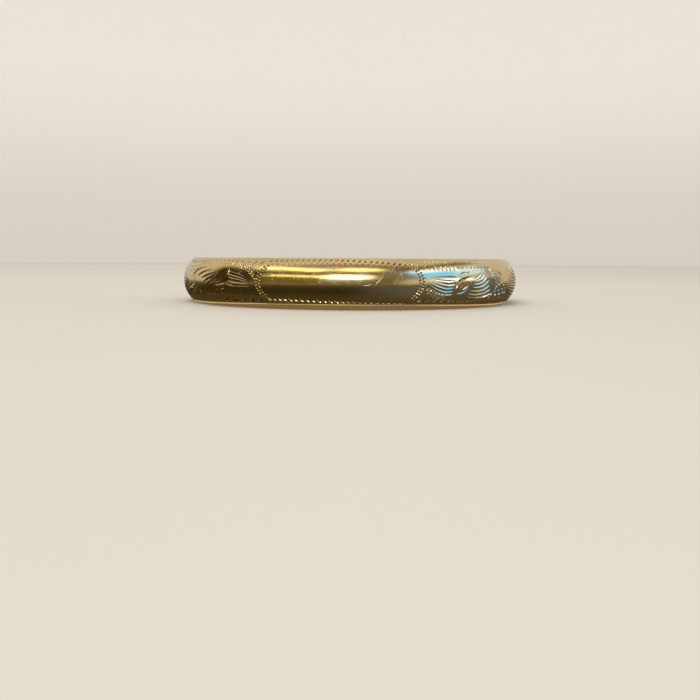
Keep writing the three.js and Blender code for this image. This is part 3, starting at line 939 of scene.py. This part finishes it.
def soften(work, width, segments=3, turn=30):  # rounds the edges that turn by more than an angle
    sharp = [edge for edge in work.edges if edge.is_manifold and edge.calc_face_angle() > math.radians(turn)]
    bmesh.ops.bevel(work, geom=sharp, offset=width, offset_type="OFFSET", segments=segments, profile=0.5,
                    affect="EDGES", clamp_overlap=True)


def finished(name, work, scale=mm):
    bmesh.ops.recalc_face_normals(work, faces=work.faces)
    bmesh.ops.scale(work, vec=(scale, scale, scale), verts=work.verts)
    mesh = bpy.data.meshes.new(name)
    work.to_mesh(mesh)
    work.free()
    mesh.polygons.foreach_set("use_smooth", [True] * len(mesh.polygons))
    mesh.set_sharp_from_angle(angle=math.radians(45))
    made = bpy.data.objects.new(name, mesh)
    bpy.context.scene.collection.objects.link(made)
    even = made.modifiers.new("even", "WEIGHTED_NORMAL")
    even.keep_sharp = True
    return made


def extruded(loops, low, high, rounding, segments=3):  # an outline, with any others as holes, raised in z
    work = bmesh.new()
    rims = []
    for loop in loops:
        corners = [work.verts.new((x, y, low)) for x, y in loop]
        rims += [work.edges.new((a, b)) for a, b in zip(corners, corners[1:] + corners[:1])]
    bmesh.ops.triangle_fill(work, use_beauty=True, edges=rims)
    bottom = list(work.faces)
    raised = bmesh.ops.extrude_face_region(work, geom=bottom, use_keep_orig=True)
    top = [item for item in raised["geom"] if isinstance(item, bmesh.types.BMVert)]
    bmesh.ops.translate(work, vec=(0, 0, high - low), verts=top)
    bmesh.ops.recalc_face_normals(work, faces=work.faces)
    soften(work, rounding, segments)
    return work


def lathed(profile, centre, sides):  # (radius, z) pairs turned round an upright axis
    work = bmesh.new()
    rings = []
    for radius, z in profile:
        if radius < 1e-6:
            rings.append([work.verts.new((centre[0], centre[1], z))])
            continue
        rings.append([work.verts.new((x, y, z)) for x, y in circle(centre, radius, sides)])
    for a, b in zip(rings[:-1], rings[1:]):
        for k in range(sides):
            after = (k + 1) % sides
            if len(a) == 1:
                work.faces.new((a[0], b[after], b[k]))
            elif len(b) == 1:
                work.faces.new((a[k], a[after], b[0]))
            else:
                work.faces.new((a[k], a[after], b[after], b[k]))
    return work


def circle(centre, radius, sides, first=0.0, last=2 * math.pi):
    turns = np.linspace(first, last, sides, endpoint=abs(last - first) < 2 * math.pi - 1e-6)
    return [(centre[0] + radius * math.cos(t), centre[1] + radius * math.sin(t)) for t in turns]


# The hinge: five knuckles, the pin through them and its two domed caps
knuckleWeb = {"near": 0.4, "far": 0.9, "reach": 1.35}
hingeRounding = 0.07
pinShape = {"end": 0.02, "chamfer": 0.06, "capGap": 0.05, "capRim": 0.03, "capSteps": 13}


def buildKnuckle(index):
    side = -1 if index % 2 == 0 else 1
    radius, w = hinge["knuckle"], knuckleWeb
    low = hinge["bottom"] + index * hinge["spacing"] + hinge["clearance"] / 2
    first, last = math.acos(w["near"] / radius), 2 * math.pi + math.acos(w["far"] / radius)
    outline = circle((0, 0), radius, hinge["sides"], first, last)
    outline += [(w["far"], w["reach"]), (w["near"], w["reach"])]
    outline = [(hinge["x"] + x, side * y) for x, y in outline]
    bore = circle((hinge["x"], 0), hinge["bore"], hinge["sides"] // 2)
    work = extruded([outline, bore], low, low + hinge["spacing"] - hinge["clearance"], hingeRounding)
    body, half = ("front_half", "front") if side < 0 else ("back_half", "back")
    made = finished(f"{half}HingeKnuckle{index + 1}", work)
    dress(made, smallPolished, body, [f"{half}_hinge_knuckle_{index + 1}"])


def buildPin():
    low = hinge["bottom"] - pinShape["end"]
    high = band["width"] - low
    radius, chamfer = hinge["pin"], pinShape["chamfer"]
    profile = [(0, low), (radius - chamfer, low), (radius, low + chamfer)]
    profile += [(radius, high - chamfer), (radius - chamfer, high), (0, high)]
    made = finished("hingePin", lathed(profile, (hinge["x"], 0), hinge["sides"]))
    dress(made, fittingGold, "front_half", ["hinge_pin"])


def buildCap(name, node, direction):
    low = hinge["bottom"] - pinShape["end"]
    foot = band["width"] - low + pinShape["capGap"] if direction > 0 else low - pinShape["capGap"]
    radius, rim = hinge["cap"], pinShape["capRim"]
    profile = [(0, foot), (radius - rim, foot), (radius, foot + direction * rim)]
    for turn in np.linspace(0, math.pi / 2, pinShape["capSteps"])[1:-1]:
        height = rim + (hinge["capHeight"] - rim) * math.sin(turn)
        profile.append((radius * math.cos(turn), foot + direction * height))
    profile.append((0, foot + direction * hinge["capHeight"]))
    made = finished(name, lathed(profile, (hinge["x"], 0), hinge["sides"]))
    dress(made, smallPolished, "front_half", [node])


for index in range(hinge["count"]):
    buildKnuckle(index)
buildPin()
buildCap("hingePinCapLower", "hinge_pin_cap_lower", -1)
buildCap("hingePinCapUpper", "hinge_pin_cap_upper", 1)
print("hinge made")

# The clasp: the folded spring tongue, its thumb piece, and the fixed fittings
tongue = {
    "inner": 30.45, "halfWidth": 1.85, "leaf": 0.3, "root": -1.0,
    "noseRadius": 0.315, "noseY": 5.2, "noseStart": 5.14, "noseSteps": 24,
    "pivot": (30.79, 4.93), "rise": 6.75, "springLength": 4.2, "spring": 0.28, "springSteps": 12,
    "rounding": 0.06,
}
thumb = {
    "y": -3.45, "stemHalfLength": 0.5, "stemHalfWidth": 0.7, "stemFoot": 0.33, "stemInHead": 0.09,
    "stemRound": 0.12, "headFoot": 1.76, "headTop": 2.12, "footRadius": 1.0, "topRadius": 0.88,
    "footRound": 0.09, "topRound": 0.13, "crown": 0.035, "flatten": 0.85, "sides": 96,
    "grooves": 5, "grooveGap": 0.26, "grooveWidth": 0.15, "grooveDepth": 0.05, "grooveFade": 0.12,
}


def buildTongueBase():
    t = tongue
    x, face = t["inner"], t["inner"] + 2 * t["noseRadius"]
    nose = circle((x + t["noseRadius"], t["noseY"]), t["noseRadius"], t["noseSteps"], 0, math.pi)
    outline = [(x, t["root"]), (x + t["leaf"], t["root"]), (x + t["leaf"], t["noseStart"])]
    outline += [(face, t["noseStart"])] + nose
    work = extruded([outline], middle - t["halfWidth"], middle + t["halfWidth"], t["rounding"])
    made = finished("tongueBaseLeaf", work)
    dress(made, springFinish, "front_half", ["tongue_base_leaf"])


def inTongueFrame(work):  # from the sprung leaf's own frame, with its origin at the fold
    spin = Matrix.Rotation(math.radians(tongue["rise"]), 4, "Z")
    bmesh.ops.transform(work, matrix=Matrix.Translation((*tongue["pivot"], 0)) @ spin, verts=work.verts)
    return work


def buildSpringLeaf():
    t = tongue
    end = circle((t["spring"] / 2, 0), t["spring"] / 2, t["springSteps"], 0, math.pi)
    outline = [(0, -t["springLength"]), (t["spring"], -t["springLength"])] + end
    work = extruded([outline], middle - t["halfWidth"], middle + t["halfWidth"], t["rounding"])
    made = finished("tongueSpringLeaf", inTongueFrame(work))
    dress(made, springFinish, "spring_tongue", ["tongue_spring_leaf"])


def thumbHead():  # an oval button with fine grooves across its face
    t = thumb
    profile = [(0.0, t["headFoot"]), (t["footRadius"] * 0.5, t["headFoot"])]
    low, high = t["footRound"], t["topRound"]
    base, rim = t["footRadius"] - low, t["topRadius"] - high
    for turn in np.linspace(-math.pi / 2, 0, 6):
        profile.append((base + low * math.cos(turn), t["headFoot"] + low + low * math.sin(turn)))
    for turn in np.linspace(0.15, math.pi / 2, 7):
        profile.append((rim + high * math.cos(turn), t["headTop"] - high + high * math.sin(turn)))
    for share in np.linspace(1, 0, 24)[1:]:
        profile.append((rim * share, t["headTop"] + t["crown"] * (1 - share ** 2)))
    work = lathed(profile, (0, 0), t["sides"])
    for vertex in work.verts:
        x, y, height = vertex.co
        away = math.hypot(x, y)
        if height > t["headTop"] - 0.001 and away < rim:
            offset, last = y / t["grooveGap"], t["grooves"] // 2
            nearest = max(-last, min(last, round(offset)))
            groove = max(0.0, 1 - abs(offset - nearest) * t["grooveGap"] / (t["grooveWidth"] / 2))
            height -= t["grooveDepth"] * groove * min(1.0, (rim - away) / t["grooveFade"])
        vertex.co = (height, t["y"] + y * t["flatten"], middle + x)
    return work


def joined(name, first, second):  # the union of two solids as one clean mesh
    keep, add = finished(name, first), finished(name + "Part", second)
    keep.modifiers.clear()
    add.modifiers.clear()
    union = keep.modifiers.new("union", "BOOLEAN")
    union.operation, union.solver, union.object = "UNION", "EXACT", add
    bpy.context.view_layer.update()
    mesh = bpy.data.meshes.new_from_object(keep.evaluated_get(bpy.context.evaluated_depsgraph_get()))
    keep.modifiers.clear()
    keep.data = mesh
    bpy.data.objects.remove(add)
    return keep


def buildThumbTab():
    t = thumb
    foot, top = t["stemFoot"], t["headFoot"] + t["stemInHead"]
    near, far = t["y"] - t["stemHalfLength"], t["y"] + t["stemHalfLength"]
    outline = [(foot, near), (top, near), (top, far), (foot, far)]
    stem = extruded([outline], middle - t["stemHalfWidth"], middle + t["stemHalfWidth"], t["stemRound"], 4)
    made = joined("thumbTab", inTongueFrame(thumbHead()), inTongueFrame(stem))
    made.data.set_sharp_from_angle(angle=math.radians(40))
    dress(made, smallPolished, "spring_tongue", ["thumb_tab"])


def finishFixed(node, rounding):  # a plain fitting kept as it is, with its edges broken
    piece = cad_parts[node]
    weld = piece.modifiers.new("weld", "WELD")
    weld.merge_threshold = 0.000002
    plain = piece.modifiers.new("plain", "DECIMATE")
    plain.decimate_type, plain.angle_limit = "DISSOLVE", math.radians(1)
    bevel = piece.modifiers.new("bevel", "BEVEL")
    bevel.width, bevel.segments = rounding * mm, 2
    bevel.limit_method, bevel.angle_limit = "ANGLE", math.radians(40)
    piece.modifiers.new("even", "WEIGHTED_NORMAL")
    piece.data.materials.clear()
    piece.data.materials.append(fittingGold)


buildTongueBase()
buildSpringLeaf()
buildThumbTab()
for node in ("front_hinge_end_plate", "back_hinge_end_plate", "tongue_end_plate", "catch_plate"):
    finishFixed(node, 0.05)
finishFixed("clasp_tray", 0.03)
print("clasp made")

# The studio
studio = {
    "floorColour": (0.86, 0.82, 0.74, 1), "wallColour": (0.88, 0.84, 0.78, 1), "wallGlow": 0.24,
    "glowRise": 0.25,  # share of the wall's height over which its glow comes up
    "glowAtFoot": 0.26,  # share of the glow at the foot of the wall
    "floorRadius": 0.9, "bend": 0.5, "wallRise": 1.6, "sides": 96,  # metres
}
camera = {
    "distance": 0.1430, "height": 0.0085,  # metres
    "azimuth": 3.4, "pitch": 7.47, "swing": 0.09, "roll": 0.35, "lens": 36, "sensor": 36,
}


def stageMaterial(name, colour, roughness, glow=0.0):
    material = bpy.data.materials.new(name)
    material.use_nodes = True
    shader = material.node_tree.nodes["Principled BSDF"]
    shader.inputs["Base Color"].default_value = colour
    shader.inputs["Roughness"].default_value = roughness
    shader.inputs["Emission Color"].default_value = colour
    shader.inputs["Emission Strength"].default_value = glow
    return material


def fadeAtFoot(material, colour, height, least):  # less glow low down, so the floor and wall run together
    tree = material.node_tree
    coords = tree.nodes.new("ShaderNodeTexCoord")
    split = tree.nodes.new("ShaderNodeSeparateXYZ")
    tree.links.new(coords.outputs["Generated"], split.inputs[0])
    risen = remap(tree, split.outputs[2], 0.0, height, least, 1.0)
    shader = tree.nodes["Principled BSDF"]
    tree.links.new(mixColour(tree, risen, (0, 0, 0, 1), colour), shader.inputs["Emission Color"])


def roundSheet(name, profile, material):  # (radius, height) pairs in metres turned all the way round
    work = lathed(profile, (0, 0), studio["sides"])
    mesh = bpy.data.meshes.new(name)
    work.to_mesh(mesh)
    work.free()
    mesh.polygons.foreach_set("use_smooth", [True] * len(mesh.polygons))
    mesh.materials.append(material)
    sheet = bpy.data.objects.new(name, mesh)
    bpy.context.scene.collection.objects.link(sheet)
    return sheet


def makeFloor():  # a round floor with a wall that curves up all round, which only the camera sees
    s = studio
    matt = stageMaterial("pale floor", s["floorColour"], 0.8)
    roundSheet("floor", [(0, 0), (0.1, 0), (s["floorRadius"], 0)], matt)
    profile = []
    for turn in np.linspace(0, math.pi / 2, 17):
        profile.append((s["floorRadius"] + s["bend"] * math.sin(turn), s["bend"] * (1 - math.cos(turn))))
    profile.append((s["floorRadius"] + s["bend"], s["wallRise"]))
    paint = stageMaterial("pale wall", s["wallColour"], 0.8, s["wallGlow"])
    fadeAtFoot(paint, s["wallColour"], s["glowRise"], s["glowAtFoot"])
    wall = roundSheet("wall", profile, paint)
    wall.visible_glossy = wall.visible_diffuse = wall.visible_shadow = False


def aim(item, target):
    item.rotation_euler = (Vector(target) - item.location).to_track_quat("-Z", "Y").to_euler()


def glowMaterial(name, colour, feather):
    material = bpy.data.materials.new(name)
    material.use_nodes = True
    tree = material.node_tree
    tree.nodes.clear()
    coords = tree.nodes.new("ShaderNodeTexCoord")
    split = tree.nodes.new("ShaderNodeSeparateXYZ")
    tree.links.new(coords.outputs["Generated"], split.inputs[0])
    edges = []
    for axis, soft in zip((0, 1), feather):
        fromMiddle = maths(tree, "ABSOLUTE", maths(tree, "SUBTRACT", split.outputs[axis], 0.5))
        edges.append(remap(tree, fromMiddle, 0.5 - soft / 2, 0.5, 1.0, 0.0))
    mask = maths(tree, "MULTIPLY", edges[0], edges[1])
    glow = tree.nodes.new("ShaderNodeEmission")
    glow.inputs["Color"].default_value = (*colour, 1)
    clear = tree.nodes.new("ShaderNodeBsdfTransparent")
    mixed = tree.nodes.new("ShaderNodeMixShader")
    out = tree.nodes.new("ShaderNodeOutputMaterial")
    tree.links.new(mask, mixed.inputs[0])
    tree.links.new(clear.outputs[0], mixed.inputs[1])
    tree.links.new(glow.outputs[0], mixed.inputs[2])
    tree.links.new(mixed.outputs[0], out.inputs["Surface"])
    return material


def reflectedOnly(item):
    item.visible_camera = False
    item.visible_shadow = False
    item.visible_diffuse = False


def studioCard(name, around, rise, halfAround, halfRise, colour, feather, distance):
    # a card seen only in the polished metal; around is the direction from the front, towards +X
    a, e = math.radians(around), math.radians(rise)
    where = Vector((math.sin(a) * math.cos(e), -math.cos(a) * math.cos(e), math.sin(e))) * distance
    w, h = (distance * math.tan(math.radians(half)) for half in (halfAround, halfRise))
    mesh = bpy.data.meshes.new(name)
    mesh.from_pydata([(-w, -h, 0), (w, -h, 0), (w, h, 0), (-w, h, 0)], [], [(0, 1, 2, 3)])
    mesh.materials.append(glowMaterial(name, colour, feather))
    card = bpy.data.objects.new(name, mesh)
    card.location = where
    aim(card, (0, 0, 0.004))
    bpy.context.scene.collection.objects.link(card)
    reflectedOnly(card)


def tableCard():  # a dark sheet just over the floor, seen only in the metal; lighter under the bangle, where it is painted shade of the pale floor under the dome
    t = darkTableAndFloorShade
    turns = np.linspace(0, 2 * math.pi, t["sides"], endpoint=False)
    narrow = t["narrow"] * np.clip((abs(np.cos(turns)) - 0.35) / 0.55, 0, 1)
    rings = [onBand(turns, reach - narrow * (1 < reach < 3), t["lift"]) for reach, _ in t["rings"]]
    points = np.concatenate(rings) * mm
    faces = []
    for ring in range(len(t["rings"]) - 1):
        for k in range(t["sides"]):
            a, b = ring * t["sides"] + k, ring * t["sides"] + (k + 1) % t["sides"]
            faces.append((a, b, b + t["sides"], a + t["sides"]))
    mesh = bpy.data.meshes.new("dark table and floor shade")
    mesh.from_pydata([tuple(q) for q in points], [], faces)
    behind = np.clip(np.sin(turns) * 1.6 + 0.1, 0, 1)[:, None]
    values = []
    for reach, colour in t["rings"]:
        right = np.clip(np.cos(turns) * 3 - 0.1, 0, 1)[:, None] * (reach > t["rightFrom"])
        near = np.array(colour) * (1 - right) + np.array(t["right"]) * right
        values.append(near * (1 - behind) + np.array(t["behind"]) * behind)
    values = np.concatenate([np.concatenate(values), np.ones((len(points), 1))], 1).astype(np.float32)
    mesh.color_attributes.new("shade", "FLOAT_COLOR", "POINT").data.foreach_set("color", values.ravel())
    material = bpy.data.materials.new("dark table and floor shade")
    material.use_nodes = True
    tree = material.node_tree
    tree.nodes.clear()
    read = tree.nodes.new("ShaderNodeAttribute")
    read.attribute_name = "shade"
    glow = tree.nodes.new("ShaderNodeEmission")
    out = tree.nodes.new("ShaderNodeOutputMaterial")
    tree.links.new(read.outputs["Color"], glow.inputs["Color"])
    tree.links.new(glow.outputs[0], out.inputs["Surface"])
    mesh.materials.append(material)
    table = bpy.data.objects.new("dark table and floor shade", mesh)
    bpy.context.scene.collection.objects.link(table)
    reflectedOnly(table)


def areaLight(name, where, size, power, colour):
    light = bpy.data.lights.new(name, "AREA")
    light.shape, light.size, light.energy, light.color = "DISK", size, power, colour
    item = bpy.data.objects.new(name, light)
    item.location = where
    aim(item, (0, 0, 0))
    item.visible_glossy = False
    bpy.context.scene.collection.objects.link(item)


def makeWorld(colour, strength):
    world = bpy.data.worlds.new("studio")
    bpy.context.scene.world = world
    world.use_nodes = True
    back = world.node_tree.nodes["Background"]
    back.inputs["Color"].default_value = (*colour, 1)
    back.inputs["Strength"].default_value = strength


def makeCamera():
    c = camera
    azimuth, pitch, roll = (math.radians(c[k]) for k in ("azimuth", "pitch", "roll"))
    item = bpy.data.objects.new("camera", bpy.data.cameras.new("camera"))
    bpy.context.scene.collection.objects.link(item)
    item.data.lens, item.data.sensor_width = c["lens"], c["sensor"]
    item.data.clip_start = 0.002
    item.location = (math.sin(azimuth) * c["distance"], -math.cos(azimuth) * c["distance"], c["height"])
    heading, level = azimuth - math.radians(c["swing"]), math.cos(pitch)
    looking = Vector((-math.sin(heading) * level, math.cos(heading) * level, -math.sin(pitch)))
    facing = looking.to_track_quat("-Z", "Y").to_matrix() @ Matrix.Rotation(roll, 3, "Z")
    item.rotation_euler = facing.to_euler()
    bpy.context.scene.camera = item


darkTableAndFloorShade = {
    "sides": 96, "lift": 0.03, "narrow": 0.75,
    "behind": (0.24, 0.19, 0.12), "right": (0.115, 0.122, 0.13), "rightFrom": 5,
    "rings": [  # distance out from the inner oval, colour
        # the first two rings, under the dome, are painted shade of the pale floor there
        (0.3, (0.235, 0.185, 0.145)), (2.02, (0.235, 0.185, 0.145)), (2.06, (0.9, 0.75, 0.5)),
        (2.22, (0.8, 0.66, 0.42)), (2.28, (0.08, 0.062, 0.026)), (8, (0.035, 0.03, 0.012)),
        (16, (0.045, 0.036, 0.016)), (30, (0.08, 0.062, 0.035)), (80, (0.16, 0.135, 0.09)),
        (400, (0.25, 0.22, 0.16)),
    ],
}
studioCards = [  # around, rise, half widths, colour, feather, distance in metres
    ("room", (-14, 20, 52, 30, (0.17, 0.14, 0.055), (0.3, 0.3), 0.80)),
    ("grey corner", (38, 40, 17, 27, (0.22, 0.205, 0.18), (0.5, 0.4), 0.74)),
    ("upper dark", (0, 68, 44, 9, (0.27, 0.24, 0.18), (0.4, 0.8), 0.76)),
    ("main window", (1, 25, 17, 9.5, (6.0, 5.7, 5.6), (0.8, 0.7), 0.70)),
    ("window edge", (-30, 26, 26, 2.4, (2.8, 2.8, 1.4), (0.6, 0.5), 0.66)),
    ("green wall", (0, 10, 20, 6, (0.3, 0.39, 0.36), (0.6, 0.6), 0.72)),
    ("left lamps", (-45, 49, 22, 6.5, (2.3, 2.2, 1.25), (0.5, 0.6), 0.68)),
    ("left lamp", (-23, 48, 5, 4, (5.5, 4.6, 3.0), (0.9, 0.9), 0.64)),
    ("right lamps", (10, 52, 16, 6.5, (4.2, 3.5, 1.9), (0.9, 0.8), 0.68)),
    ("blind", (79, 53, 37, 6, (0.17, 0.14, 0.1), (0.4, 0.6), 0.64)),
    ("blue window", (66, 32, 23, 14, (0.25, 0.95, 2.5), (0.5, 0.45), 0.70)),
    ("bright sky", (95, 32, 19, 11, (0.75, 1.2, 2.1), (0.6, 0.5), 0.68)),
    ("low lamp", (72, 12, 24, 5, (2.6, 2.9, 3.5), (0.7, 0.8), 0.66)),
    ("white sky", (72, 42, 26, 4.5, (1.5, 2.3, 4.3), (0.6, 0.6), 0.67)),
    ("pale wall", (112, 24, 9, 15, (0.34, 0.42, 0.6), (0.6, 0.5), 0.69)),
    ("grey wall", (88, 2, 34, 14, (0.14, 0.16, 0.18), (0.3, 0.5), 0.72)),
    ("dark doorway", (-78, 13, 26, 30, (0.05, 0.035, 0.015), (0.45, 0.3), 0.72)),
    ("ceiling", (0, 88, 14, 14, (0.8, 0.76, 0.7), (0.8, 0.8), 0.70)),
    ("back window", (184, 26, 26, 8, (2.2, 2.1, 1.9), (0.6, 0.6), 0.70)),
]

makeFloor()
makeWorld((0.62, 0.6, 0.55), 1.0)
makeCamera()
for name, card in studioCards:
    studioCard(name, *card)
tableCard()
areaLight("room light", (-0.25, -0.45, 0.9), 0.9, 4.0, (1.0, 0.96, 0.9))
bpy.context.scene.view_settings.view_transform = "Standard"
